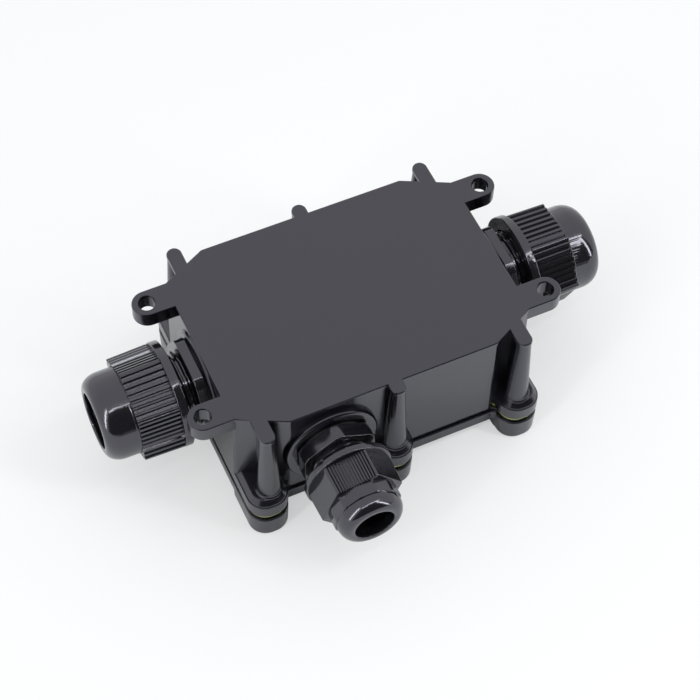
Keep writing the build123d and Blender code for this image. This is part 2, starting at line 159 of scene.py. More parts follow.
SPLAY_AT_JOINT = (-HOUSING_LOW.z - PLATE_LIP) * WALL_DRAFT - LIP_OVERHANG
FLANGE_X = BODY_LENGTH / 2 + SPLAY_AT_JOINT
FLANGE_Y = BODY_WIDTH / 2 + SPLAY_AT_JOINT
LOBE_TOP = HOUSING_LOW.z + LOBE_HEIGHT
CORNER_LOBE_BACK = BODY_WIDTH / 2 - CORNER_CUT_WIDTH - SIDE_WALL + CORNER_LOBE_ROOT
MIDDLE_LOBE_BACK = BODY_WIDTH / 2 - SIDE_WALL + MIDDLE_LOBE_ROOT
EAR_BACK = BODY_LENGTH / 2 - SIDE_WALL + EAR_ROOT
SCREW_PLACES = [(x, y) for y in (-SCREW_Y, SCREW_Y) for x in (-SCREW_X, 0.0, SCREW_X)]
EAR_PLACES = [(x, y) for y in (-EAR_Y, EAR_Y) for x in (-EAR_X, EAR_X)]


@dataclass
class GlandSizes:
    """One size of cable gland, measured outwards from the face of its collar."""

    collar_radius: float
    collar_proud: float
    collar_boss_radius: float
    thread_radius: float
    thread_depth: float
    tube_bore: float
    passage_radius: float
    seat: float
    tube_end: float
    hex_start: float
    hex_end: float
    hex_flats: float
    nut_start: float
    ribs_start: float
    ribs_end: float
    dome_start: float
    dome_round: float
    mouth: float
    ring_radius: float
    nut_flats: float
    ribbed_every: int
    rib_count: int
    rib_pitch: float
    rib_gap: float
    rib_depth: float
    neck_radius: float
    neck_sides: int
    dome_radius: float
    mouth_radius: float
    mouth_lip: float
    inner_dome_radius: float


LARGE = GlandSizes(
    collar_radius=14.3 * MM,
    collar_proud=0.7 * MM,
    collar_boss_radius=12.6 * MM,
    thread_radius=10.2 * MM,
    thread_depth=0.8 * MM,
    tube_bore=8.6 * MM,
    passage_radius=6.8 * MM,
    seat=5.2 * MM,
    tube_end=14.4 * MM,
    hex_start=0.5 * MM,
    hex_end=3.1 * MM,
    hex_flats=24.0 * MM,
    nut_start=6.5 * MM,
    ribs_start=8.8 * MM,
    ribs_end=19.5 * MM,
    dome_start=20.0 * MM,
    dome_round=4.6 * MM,
    mouth=28.0 * MM,
    ring_radius=14.0 * MM,
    nut_flats=24.0 * MM,
    ribbed_every=1,
    rib_count=9,
    rib_pitch=1.66 * MM,
    rib_gap=0.8 * MM,
    rib_depth=0.6 * MM,
    neck_radius=11.65 * MM,
    neck_sides=0,
    dome_radius=11.5 * MM,
    mouth_radius=7.4 * MM,
    mouth_lip=0.9 * MM,
    inner_dome_radius=9.45 * MM,
)
SMALL = GlandSizes(
    collar_radius=12.6 * MM,
    collar_proud=1.7 * MM,
    collar_boss_radius=9.6 * MM,
    thread_radius=7.6 * MM,
    thread_depth=0.7 * MM,
    tube_bore=6.3 * MM,
    passage_radius=4.5 * MM,
    seat=6.3 * MM,
    tube_end=12.3 * MM,
    hex_start=0.5 * MM,
    hex_end=4.5 * MM,
    hex_flats=19.0 * MM,
    nut_start=8.1 * MM,
    ribs_start=9.9 * MM,
    ribs_end=17.6 * MM,
    dome_start=21.0 * MM,
    dome_round=3.4 * MM,
    mouth=24.9 * MM,
    ring_radius=11.5 * MM,
    nut_flats=19.0 * MM,
    ribbed_every=2,
    rib_count=15,
    rib_pitch=0.72 * MM,
    rib_gap=0.38 * MM,
    rib_depth=0.45 * MM,
    neck_radius=8.8 * MM,
    neck_sides=12,
    dome_radius=8.6 * MM,
    mouth_radius=5.25 * MM,
    mouth_lip=0.9 * MM,
    inner_dome_radius=6.85 * MM,
)
THREAD_PITCH = 1.5 * MM
THREAD_CLEARANCE = 0.07 * MM
THREAD_CREST = 1.6
THREAD_FLANK = 5.2
THREAD_RUNOUT = 0.8 * MM
THREAD_STEPS = 12
CAGE_CLEARANCE = 0.04 * MM
HEX_CORNER_CUT = 0.6 * MM
HEX_END_ROUND = 0.2 * MM
GRIP_DRAFT = tan(radians(1.3))
GRIP_CORNER_CUT = 0.12 * MM
GRIP_END_ROUND = 0.15 * MM
RING_ROUND = 0.3 * MM
NECK_CORNER = 1.025

# Places across a groove and near a flat's corners, as shares of half their widths
GROOVE_MARKS = (-1.15, -0.85, -0.55, 0.0, 0.55, 0.85, 1.15)
CORNER_MARKS = (0.93, 0.985)
GROOVE_REACH = 1.1
GROOVE_SLOPE = 0.5

COLLAR_BOSS_DEPTH = 3.0 * MM
COLLAR_ROUND = 0.9 * MM

# The dark opening of the tent, towards the photographer
OPENING_AZIMUTH = 5.0
OPENING_WIDTH = 1.7
OPENING_HEIGHT = 2.8
OPENING_BLUR = 0.1
OPENING_BRIGHTNESS = 0.05

# The floor as the camera sees it: how much of it is an even glow, and how pale that is
SHADOW_SOFTENING = 0.5
FLOOR_GLOW = 0.97
FLOOR_TINT = (0.985, 0.997, 1.0, 1)
FLOOR_COOLNESS = (0.965, 0.99, 1.0)
FLOOR_REACH = 3.0

# The camera's sensor in millimetres, its near limit and the photograph's framing
SENSOR_WIDTH = 36
CLIP_START = 0.01
SHIFT_X = 0.0028
SHIFT_Y = -0.0013

# The faint violet of the plastics' gloss
GLOSS_TINT = (0.90, 0.88, 1.0, 1)

# Outline points nearer to each other than this count as one
CLOSE = 0.02 * MM


@dataclass
class Gland:
    """A gland in its place: its sizes, the way it points and how its hexagons are turned."""

    name: str
    sizes: GlandSizes
    outward: tuple
    hex_turn: float
    nut_turn: float

    @property
    def place(self):
        """From the gland's own frame, z outwards and x up, to the box's frame."""
        z = Vector(self.outward)
        x = Vector((0, 0, 1))
        y = z.cross(x)
        low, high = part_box(f"{self.name}_gland_washer")
        middle = (low + high) / 2
        origin = middle - z * abs((high - low).dot(z)) / 2
        return Matrix.Translation(origin) @ Matrix((x, y, z)).transposed().to_4x4()


GLANDS = [
    Gland("left", LARGE, (-1, 0, 0), 0.0, -23.2),
    Gland("right", LARGE, (1, 0, 0), 0.0, -7.4),
    Gland("front", SMALL, (0, -1, 0), 31.8, 9.1),
]


@dataclass
class Strip:
    """A long lamp whose mirror image makes the bright arcs on the glands."""

    name: str
    place: tuple
    aim: tuple
    width: float
    height: float
    level: float


STRIPS = [
    Strip("left strip", (-0.84, -0.34, 0.46), (-0.03, 0, -0.02), width=0.09, height=1.0, level=12.0),
    Strip("right strip", (0.58, -0.52, 0.46), (0.06, 0, -0.02), width=0.10, height=0.95, level=11.0),
    Strip("ceiling strip", (0.05, -0.31, 0.85), (0, 0, -0.02), width=1.1, height=0.035, level=14.0),
]


def side(value):
    return 1 if value > 0 else -1


# Mesh tools


def rounded_outline(corners, step=radians(8)):
    """A closed outline through (x, y, radius) corners, each rounded by its own radius."""
    points = []
    count = len(corners)
    for i, (x, y, radius) in enumerate(corners):
        here = Vector((x, y))
        before = (Vector(corners[i - 1][:2]) - here).normalized()
        after = (Vector(corners[(i + 1) % count][:2]) - here).normalized()
        if radius <= 0:
            points.append(here)
            continue
        half = acos(max(-1, min(1, before.dot(after)))) / 2
        centre = here + (before + after).normalized() * radius / sin(half)
        start = here + before * radius / tan(half) - centre
        end = here + after * radius / tan(half) - centre
        swing = start.angle_signed(end)
        steps = max(2, round(abs(swing) / step))
        for k in range(steps + 1):
            turn = -swing * k / steps
            point = centre + Matrix.Rotation(turn, 2) @ start
            if not points or (point - points[-1]).length > CLOSE:
                points.append(point)
    if (points[0] - points[-1]).length < CLOSE:
        points.pop()
    area = sum(a.x * b.y - b.x * a.y for a, b in zip(points, points[1:] + points[:1]))
    return points if area > 0 else points[::-1]


def circle_outline(radius, steps=64, x=0.0, y=0.0):
    turns = [2 * pi * i / steps for i in range(steps)]
    return [Vector((x + radius * cos(a), y + radius * sin(a))) for a in turns]


def inset_outline(points, distance):
    """The outline moved inwards by a distance, or outwards where it is negative."""
    moved = []
    for i, point in enumerate(points):
        before = (point - points[i - 1]).normalized()
        after = (points[(i + 1) % len(points)] - point).normalized()
        inward = Vector((-before.y - after.y, before.x + after.x)) / 2
        moved.append(point + inward * distance / inward.length_squared)
    return moved


def eased_levels(top, bottom, top_round, bottom_round=0.0, spread=0.0, steps=4):
    """(height, inset) pairs from a rounded top edge down a drafted side to a rounded bottom."""
    levels = []
    for k in range(steps + 1 if top_round else 1):
        turn = pi / 2 * k / steps
        levels.append((top - top_round * (1 - cos(turn)), top_round * (1 - sin(turn))))
    for k in range(steps + 1 if bottom_round else 1):
        turn = pi / 2 * (1 - k / steps) if bottom_round else pi / 2
        inset = bottom_round * (1 - sin(turn))
        levels.append((bottom + bottom_round * (1 - cos(turn)), inset))
    return [(z, inset - spread * (top - z)) for z, inset in levels]


def skin(bm, rings, wrap=False):
    """Quads between rings of equal length, with flat ends unless the rings wrap round."""
    loops = [[bm.verts.new(point) for point in ring] for ring in rings]
    count = len(loops[0])
    for low, high in zip(loops, loops[1:] + (loops[:1] if wrap else [])):
        for i in range(count):
            j = (i + 1) % count
            bm.faces.new((low[i], low[j], high[j], high[i]))
    if not wrap:
        bm.faces.new(loops[0][::-1])
        bm.faces.new(loops[-1])


def finished(name, bm, sharp=35.0):
    """A mesh object with its normals outwards and its sharp edges marked."""
    bmesh.ops.recalc_face_normals(bm, faces=bm.faces)
    mesh = bpy.data.meshes.new(name)
    bm.to_mesh(mesh)
    bm.free()
    mesh.set_sharp_from_angle(angle=radians(sharp))
    piece = bpy.data.objects.new(name, mesh)
    bpy.context.scene.collection.objects.link(piece)
    return piece


def slab(outline, levels, place=None):
    """A closed solid from one outline, inset as its levels say."""
    bm = bmesh.new()
    rings = [[(*p, z) for p in inset_outline(outline, inset)] for z, inset in levels]
    skin(bm, rings)
    if place:
        bm.transform(place)
    return finished("slab", bm)


def turned(profile, place=None, steps=96):
    """A closed solid turned about local Z from (radius, height) points, end to end."""
    bm = bmesh.new()
    rings = []
    for radius, height in profile:
        rings.append([(*p, height) for p in circle_outline(radius, steps)])
    skin(bm, rings)
    if place:
        bm.transform(place)
    return finished("turned", bm)


def combine(base, others, operation):
    """Adds the others to the base, or cuts them out of it, and removes them."""
    for other in others:
        step = base.modifiers.new("step", "BOOLEAN")
        step.operation = operation
        step.solver = "MANIFOLD"
        step.object = other
    bpy.context.view_layer.update()
    whole = base.evaluated_get(bpy.context.evaluated_depsgraph_get())
    mesh = bpy.data.meshes.new_from_object(whole)
    base.modifiers.clear()
    old, base.data = base.data, mesh
    bpy.data.meshes.remove(old)
    for other in others:
        old = other.data
        bpy.data.objects.remove(other)
        bpy.data.meshes.remove(old)
    return base


def weighted(piece, sharp=35.0):
    """Flat faces stay flat and rounded edges run smoothly into them."""
    piece.data.polygons.foreach_set("use_smooth", [True] * len(piece.data.polygons))
    piece.data.set_sharp_from_angle(angle=radians(sharp))
    shading = piece.modifiers.new("Even shading", "WEIGHTED_NORMAL")
    shading.keep_sharp = True
    return piece


def dress(piece, name, material, slot, body, *nodes):
    """Names a finished piece, gives it its material and puts it in place of its nodes."""
    piece.name = name
    piece.data.name = name
    piece.data.materials.clear()
    piece.data.materials.append(material)
    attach(piece, body)
    if nodes:
        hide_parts(*nodes)
    return piece


# Outlines of the housing


def body_outline(inset=0.0, corner_round=CORNER_ROUND):
    x, y = BODY_LENGTH / 2, BODY_WIDTH / 2
    quarter = [(x, y - CORNER_CUT_WIDTH), (x - CORNER_CUT_LENGTH, y)]
    half = quarter + [(-a, b) for a, b in reversed(quarter)]
    corners = half + [(-a, -b) for a, b in half]
    return inset_outline(rounded_outline([(a, b, corner_round) for a, b in corners]), inset)


def lobe_outline(x, y):
    """One screw lobe, run back under the wall; a corner lobe reaches the end wall."""
    back = side(y) * CORNER_LOBE_BACK
    tip = y + side(y) * LOBE_RADIUS
    inner = abs(x) - LOBE_RADIUS
    outer = FLANGE_X if x else LOBE_RADIUS
    if x == 0:
        back = side(y) * MIDDLE_LOBE_BACK
    turn = side(x)
    return rounded_outline(
        [
            (turn * outer, back, 0),
            (turn * outer, tip, LOBE_RADIUS),
            (turn * inner, tip, LOBE_RADIUS),
            (turn * inner, back, 0),
        ]
    )


def flange_outline(recess=0.0):
    """The lid joint: the full rectangle, drawn in between its six lobes by a recess."""
    tip = SCREW_Y + LOBE_RADIUS
    inner = SCREW_X - LOBE_RADIUS
    edge = FLANGE_Y - recess
    quarter = [
        (FLANGE_X, tip, LOBE_RADIUS),
        (inner, tip, LOBE_RADIUS),
        (inner, edge, LOBE_FLARE),
        (LOBE_RADIUS, edge, LOBE_FLARE),
        (LOBE_RADIUS, tip, LOBE_RADIUS),
    ]
    half = quarter + [(-x, y, r) for x, y, r in reversed(quarter)]
    return rounded_outline(half + [(-x, -y, r) for x, y, r in half])


def tab_outline(x, y):
    back = side(y) * (BODY_WIDTH / 2 - CORNER_CUT_WIDTH)
    tip = y + side(y) * TAB_RADIUS
    low, high = x - TAB_RADIUS, x + TAB_RADIUS
    ends = [(low, back, 0), (low, tip, TAB_RADIUS), (high, tip, TAB_RADIUS), (high, back, 0)]
    return rounded_outline(ends)


def ear_outline(x, y):
    back = side(x) * EAR_BACK
    tip = x + side(x) * EAR_WIDTH / 2
    low, high = y - EAR_WIDTH / 2, y + EAR_WIDTH / 2
    ends = [(back, low, 0), (tip, low, EAR_WIDTH / 2), (tip, high, EAR_WIDTH / 2), (back, high, 0)]
    return rounded_outline(ends)


# Pieces of the housing


def screw_post(x, y):
    """A tapered post with a small fillet at its foot."""
    profile = [(POST_TIP_RADIUS, -PLATE_LIP / 2)]
    foot = LOBE_TOP + SHOULDER_HEIGHT
    top = foot + POST_FILLET
    profile.append((POST_FOOT_RADIUS - 0.04 * MM, top))
    for k in range(1, 5):
        turn = pi / 2 * k / 4
        radius = POST_FOOT_RADIUS + POST_FILLET * (1 - cos(turn)) * 0.8
        profile.append((radius, top - POST_FILLET * sin(turn)))
    profile.append((POST_FOOT_RADIUS, LOBE_TOP))
    return turned(profile, Matrix.Translation((x, y, 0)), 48)


def post_web(x, y):
    back = side(y) * (BODY_WIDTH / 2 - CORNER_CUT_WIDTH)
    half = WEB_THICKNESS / 2
    corners = [(x - half, back, 0), (x + half, back, 0), (x + half, y, 0), (x - half, y, 0)]
    return slab(rounded_outline(corners), [(-PLATE_LIP / 2, 0), (LOBE_TOP, 0)])


def lobe(x, y, edge):
    """A lobed foot: rounded shoulder, fine step and upright side."""
    shelf = LOBE_TOP + SHOULDER_HEIGHT
    levels = [
        (shelf, SHOULDER_INSET + edge),
        (shelf - 0.1 * MM, SHOULDER_INSET),
        (LOBE_TOP + 0.3 * MM, SHOULDER_STEP + 0.12 * MM),
        (LOBE_TOP + 0.1 * MM, SHOULDER_STEP),
        (LOBE_TOP - 0.15 * MM, SHOULDER_STEP),
    ]
    levels += eased_levels(LOBE_TOP - 0.15 * MM, HOUSING_LOW.z, 0.2 * MM, 0.0)
    return slab(lobe_outline(x, y), levels)


def collar(gland):
    sizes = gland.sizes
    ease = COLLAR_ROUND
    profile = [(sizes.collar_radius, -SIDE_WALL)]
    for k in range(6):
        turn = pi / 2 * k / 5
        profile.append((sizes.collar_radius - ease * (1 - cos(turn)), -ease * (1 - sin(turn))))
    return turned(profile, gland.place)


def collar_boss(gland):
    sizes = gland.sizes
    end = -(sizes.collar_proud + SIDE_WALL + COLLAR_BOSS_DEPTH)
    start = -(sizes.collar_proud + SIDE_WALL / 2)
    radius = sizes.collar_boss_radius
    return turned([(radius, end), (radius, start)], gland.place)


def collar_bore(gland):
    sizes = gland.sizes
    end = -(sizes.collar_proud + SIDE_WALL + COLLAR_BOSS_DEPTH + OVERRUN)
    radius = sizes.thread_radius + THREAD_CLEARANCE
    return turned([(radius, end), (radius, OVERRUN)], gland.place)


def eased_hole(x, y, radius, top, bottom, ease):
    """A cutter for a through hole whose two edges are rounded."""
    profile = [(radius + ease, top + OVERRUN)]
    for k in range(5):
        turn = pi / 2 * k / 4
        profile.append((radius + ease * (1 - sin(turn)), top - ease * (1 - cos(turn))))
    for k in range(5):
        turn = pi / 2 * (1 - k / 4)
        profile.append((radius + ease * (1 - sin(turn)), bottom + ease * (1 - cos(turn))))
    profile.append((radius + ease, bottom - OVERRUN))
    return turned(profile, Matrix.Translation((x, y, 0)), 48)


def rod(radius, low, high, x=0.0, y=0.0, steps=32):
    return turned([(radius, low), (radius, high)], Matrix.Translation((x, y, 0)), steps)


def housing_mesh(edge):
    """The moulded housing as one solid."""
    plate = slab(body_outline(), eased_levels(0, -PLATE_LIP, edge, PLATE_LOW_ROUND))
    wall_levels = eased_levels(-PLATE_LIP / 2, HOUSING_LOW.z, 0, 0, WALL_DRAFT)
    wall = slab(body_outline(LIP_OVERHANG), wall_levels)
    added = [wall]
    for x, y in EAR_PLACES:
        levels = eased_levels(0, -EAR_THICKNESS, edge, edge)
        added.append(slab(ear_outline(x, y), levels))
    for x, y in SCREW_PLACES:
        added.append(slab(tab_outline(x, y), eased_levels(0, -PLATE_LIP, edge, PLATE_LOW_ROUND)))
        added.append(screw_post(x, y))
        added.append(post_web(x, y))
        added.append(lobe(x, y, edge))
    added += [collar(gland) for gland in GLANDS]
    housing = combine(plate, added, "UNION")
    inside = body_outline(SIDE_WALL, CAVITY_ROUND)
    cavity = slab(inside, eased_levels(-BACK_WALL, HOUSING_LOW.z - OVERRUN, 0, 0, WALL_DRAFT))
    housing = combine(housing, [cavity], "DIFFERENCE")
    bosses = [collar_boss(gland) for gland in GLANDS]
    for y in (-STANDOFF_Y, STANDOFF_Y):
        low = -BACK_WALL - STANDOFF_HEIGHT
        bosses.append(rod(STANDOFF_RADIUS, low, -BACK_WALL / 2, 0, y))
    housing = combine(housing, bosses, "UNION")
    holes = [collar_bore(gland) for gland in GLANDS]
    for x, y in EAR_PLACES:
        holes.append(eased_hole(x, y, EAR_HOLE_RADIUS, 0, -EAR_THICKNESS, edge))
    for x, y in SCREW_PLACES:
        end = HOUSING_LOW.z + SCREW_HOLE_DEPTH
        holes.append(rod(SCREW_HOLE_RADIUS, HOUSING_LOW.z - OVERRUN, end, x, y, 24))
    for y in (-STANDOFF_Y, STANDOFF_Y):
        low = -BACK_WALL - STANDOFF_HEIGHT - OVERRUN
        holes.append(rod(STANDOFF_BORE, low, -STANDOFF_BORE_END, 0, y, 24))
    return weighted(combine(housing, holes, "DIFFERENCE"))


def gasket_mesh():
    """The gasket, whose edge is a round bead."""
    outline = flange_outline(GASKET_RECESS)
    bead = (GASKET_HIGH.z - GASKET_LOW.z) * GASKET_BEAD_SHARE
    levels = eased_levels(GASKET_HIGH.z, GASKET_LOW.z, bead, bead)
    gasket = slab(inset_outline(outline, GASKET_INSET), levels)
    low, high = GASKET_LOW.z - OVERRUN, GASKET_HIGH.z + OVERRUN
    inner = slab(body_outline(GASKET_INNER_INSET, GASKET_INNER_ROUND), [(high, 0), (low, 0)])
    holes = [rod(GASKET_HOLE_RADIUS, low, high, x, y) for x, y in SCREW_PLACES]
    return weighted(combine(gasket, [inner] + holes, "DIFFERENCE"))


def between_bosses():
    """The outline of all that lies between the lid's bosses, where the lid is thin."""
    end, margin = FLANGE_X + OVERRUN, 0.15 * MM
    inner = SCREW_X - LOBE_RADIUS + margin
    out = FLANGE_Y + 3 * MM
    quarter = [
        (end, CORNER_LOBE_BACK, 0),
        (inner, CORNER_LOBE_BACK, 0.5 * MM),
        (inner, out, 0),
        (LOBE_RADIUS - margin, out, 0),
        (LOBE_RADIUS - margin, MIDDLE_LOBE_BACK, 0.5 * MM),
    ]
    half = quarter + [(-x, y, r) for x, y, r in reversed(quarter)]
    return rounded_outline(half + [(-x, -y, r) for x, y, r in half])


def lid_mesh(edge):
    """The lid: a rim under the gasket, a drafted edge, bosses, a panel and the hollow."""
    top = LID_HIGH.z
    shoulder = top - LID_RIM_HEIGHT
    levels = [(top, LID_RIM_INSET), (shoulder, LID_RIM_INSET)]
    levels += eased_levels(shoulder, LID_LOW.z, edge, LID_BOSS_ROUND, -LID_DRAFT, 5)
    lid = slab(flange_outline(), levels)
    panel_top, panel_low = top - LID_EDGE_DEPTH, top - PANEL_DEPTH
    thinning = slab(between_bosses(), [(panel_top, 0), (LID_LOW.z - OVERRUN, 0)])
    lid = combine(lid, [thinning], "DIFFERENCE")
    x, y = FLANGE_X - PANEL_MARGIN, FLANGE_Y - PANEL_MARGIN
    corners = [(x, y), (-x, y), (-x, -y), (x, -y)]
    panel = rounded_outline([(a, b, PANEL_ROUND) for a, b in corners])
    draw_in = (panel_top - panel_low) * PANEL_SLOPE
    raised = slab(panel, [(panel_top + OVERRUN, 0), (panel_top, 0), (panel_low, draw_in)])
    lid = combine(lid, [raised], "UNION")
    pocket = inset_outline(panel, LID_WALL)
    draw_in -= LID_WALL * PANEL_SLOPE
    cuts = [slab(pocket, [(top + OVERRUN, 0), (panel_top, 0), (panel_low + LID_WALL, draw_in)])]
    for x, y in SCREW_PLACES:
        seat = LID_LOW.z + HEAD_RECESS_DEPTH
        cuts.append(rod(HEAD_RECESS_RADIUS, LID_LOW.z - OVERRUN, seat, x, y, 48))
        cuts.append(rod(LID_HOLE_RADIUS, seat - 0.5 * MM, top + OVERRUN, x, y))
    return weighted(combine(lid, cuts, "DIFFERENCE"))


# Pieces of a gland


def hexagon_radius(turn, flats, middle):
    """Distance from the axis to a hexagon's side, with one flat's middle at an angle."""
    around = (turn - middle + pi / 6) % (pi / 3) - pi / 6
    return flats / 2 / cos(around)


def loft_turned(name, stations, angles, place):
    """A closed ring-shaped solid through (height, radius at an angle) stations."""
    bm = bmesh.new()
    rings = []
    for height, radius_at in stations:
        ring = []
        for angle in angles:
            radius = radius_at(angle) if callable(radius_at) else radius_at
            ring.append(place @ Vector((radius * cos(angle), radius * sin(angle), height)))
        rings.append(ring)
    skin(bm, rings, wrap=True)
    return finished(name, bm)


def even_angles(count, first=0.0):
    return [first + 2 * pi * i / count for i in range(count)]


def gland_body_mesh(gland):
    """The gland's body: stub, hexagon with cut corners and a helical thread."""
    sizes = gland.sizes
    turn = radians(gland.hex_turn)
    start = -(sizes.collar_proud + SIDE_WALL + COLLAR_BOSS_DEPTH)
    minor = sizes.thread_radius - sizes.thread_depth

    def hexagon(inset):
        corner = sizes.hex_flats / 2 / cos(pi / 6) - HEX_CORNER_CUT
        return lambda a: min(hexagon_radius(a, sizes.hex_flats, turn), corner) - inset

    def thread(height):
        fade = min(1, (sizes.tube_end - height) / THREAD_RUNOUT)

        def radius(angle):
            wave = (height / THREAD_PITCH - angle / (2 * pi)) % 1
            crest = max(0.0, min(1.0, THREAD_CREST - abs(wave - 0.5) * THREAD_FLANK))
            return minor + sizes.thread_depth * crest * fade

        return radius

    stations = [(start, sizes.passage_radius), (start, sizes.thread_radius)]
    stations += [(sizes.hex_start, sizes.thread_radius)]
    low = sizes.hex_start
    for k in range(4):
        bend = pi / 2 * k / 3
        inset = HEX_END_ROUND * (1 - sin(bend))
        stations.append((low + HEX_END_ROUND * (1 - cos(bend)), hexagon(inset)))
    for k in range(4):
        bend = pi / 2 * k / 3
        height = sizes.hex_end - HEX_END_ROUND * (1 - sin(bend))
        stations.append((height, hexagon(HEX_END_ROUND * (1 - cos(bend)))))
    stations += [(sizes.hex_end, minor + 0.3 * MM), (sizes.hex_end + 0.3 * MM, minor)]
    height = sizes.hex_end + 0.4 * MM
    while height < sizes.tube_end - 0.1 * MM:
        stations.append((height, thread(height)))
        height += THREAD_PITCH / THREAD_STEPS
    stations += [(sizes.tube_end, minor - 0.1 * MM), (sizes.tube_end, sizes.tube_bore + 0.3 * MM)]
    stations += [(sizes.tube_end - 0.3 * MM, sizes.tube_bore), (sizes.seat, sizes.tube_bore)]
    stations += [(sizes.seat, sizes.passage_radius)]
    return weighted(loft_turned("body", stations, even_angles(180, turn), gland.place), 30)


def nut_angles(sizes, turn):
    """Angles round a dome nut, close together at the edges of its grooves."""
    half = sizes.nut_flats / 2
    reach = half * tan(pi / 6)
    marks = [-reach * share for share in reversed(CORNER_MARKS)]
    for i in range(sizes.rib_count - 1):
        middle = (i - (sizes.rib_count - 2) / 2) * sizes.rib_pitch
        for share in GROOVE_MARKS:
            marks.append(middle + share * sizes.rib_gap / 2)
    marks += [reach * share for share in CORNER_MARKS]
    angles = []
    for flat in range(6):
        angles += [turn + flat * pi / 3 + atan2(mark, half) for mark in marks]
    return angles


def groove_depth(sizes, turn, angle):
    """How deep the grooves of a ribbed flat are at an angle round the nut."""
    around = (angle - turn + pi / 6) % (2 * pi)
    flat = floor(around / (pi / 3))
    if flat % sizes.ribbed_every:
        return 0.0
    across = tan(around - flat * pi / 3 - pi / 6) * sizes.nut_flats / 2
    depth = 0.0
    for i in range(sizes.rib_count - 1):
        middle = (i - (sizes.rib_count - 2) / 2) * sizes.rib_pitch
        share = abs(across - middle) / (sizes.rib_gap / 2)
        fullness = max(0.0, min(1.0, (GROOVE_REACH - share) / GROOVE_SLOPE))
        depth = max(depth, sizes.rib_depth * fullness)
    return depth


def dome_nut_mesh(gland):
    """The dome nut: flange ring, ribbed grip, neck, nose, rolled mouth and its inside."""
    sizes = gland.sizes
    turn = radians(gland.nut_turn)
    end = sizes.ribs_end
    ring = sizes.ring_radius
    ease = RING_ROUND

    def grip(height, inset=0.0):
        flats = sizes.nut_flats + 2 * GRIP_DRAFT * (end - height)
        corner = flats / 2 / cos(pi / 6) - GRIP_CORNER_CUT

        def radius(angle):
            grooved = hexagon_radius(angle, flats, turn) - groove_depth(sizes, turn, angle)
            return min(grooved, corner) - inset

        return radius

    def neck(angle):
        if not sizes.neck_sides:
            return sizes.neck_radius
        facet = 2 * pi / sizes.neck_sides
        around = (angle + facet / 2) % facet - facet / 2
        return min(sizes.neck_radius / cos(around), sizes.neck_radius * NECK_CORNER)

    bore = sizes.thread_radius + THREAD_CLEARANCE
    start = sizes.nut_start
    stations = [(start + 0.4 * MM, bore), (start, bore + 0.4 * MM), (start, ring - ease)]
    for k in (1, 2, 3, 4):
        bend = pi / 2 * k / 4
        stations.append((start + ease * (1 - cos(bend)), ring - ease * (1 - sin(bend))))
    for k in (0, 1, 2, 3, 4):
        bend = pi / 2 * (1 - k / 4)
        height = sizes.ribs_start - ease * (1 - cos(bend))
        stations.append((height, ring - ease * (1 - sin(bend))))
    foot = grip(sizes.ribs_start)
    stations.append((sizes.ribs_start, lambda a: min(foot(a), ring - ease)))
    stations.append((sizes.ribs_start + 0.1 * MM, foot))
    for k in range(4):
        bend = pi / 2 * k / 3
        height = end - GRIP_END_ROUND * (1 - sin(bend))
        stations.append((height, grip(end, GRIP_END_ROUND * (1 - cos(bend)))))
    last = grip(end, GRIP_END_ROUND)
    stations.append((end, lambda a: min(neck(a), last(a))))
    stations.append((end + 0.1 * MM, neck))
    low, high = sizes.dome_start, sizes.mouth
    wide, tip = sizes.dome_radius, sizes.mouth_radius + sizes.mouth_lip
    stations.append((low - 0.15 * MM, neck))
    stations.append((low, lambda a: neck(a) - 0.1 * MM))
    stations.append((low + 0.1 * MM, wide))
    turn_in = high - sizes.dome_round
    for k in range(17):
        bend = pi / 2 * k / 16
        stations.append((turn_in + sizes.dome_round * sin(bend), tip + (wide - tip) * cos(bend)))
    lip = sizes.mouth_lip / 2
    for k in range(1, 7):
        bend = pi / 2 * k / 6
        stations.append((high - lip * 0.6 * (1 - cos(bend)), tip - lip - lip * sin(bend)))
    inner_high = high - sizes.mouth_lip
    stations.append((inner_high, sizes.mouth_radius))
    seat = end + CAGE_CLEARANCE
    for k in range(1, 9):
        bend = pi / 2 * (1 - k / 8)
        radius = sizes.mouth_radius + (sizes.inner_dome_radius - sizes.mouth_radius) * cos(bend)
        stations.append((seat + (inner_high - seat) * sin(bend), radius))
    stations.append((seat, bore))
    angles = nut_angles(sizes, turn)
    return weighted(loft_turned("nut", stations, angles, gland.place), 30)


# Materials


def node_group(name, inputs, outputs):
    """An empty shader node group with named sockets."""
    group = bpy.data.node_groups.new(name, "ShaderNodeTree")
    for label, kind, value in inputs:
        socket = group.interface.new_socket(label, in_out="INPUT", socket_type=kind)
        socket.default_value = value
    for label, kind in outputs:
        group.interface.new_socket(label, in_out="OUTPUT", socket_type=kind)
    group.nodes.new("NodeGroupInput")
    group.nodes.new("NodeGroupOutput")
    return group


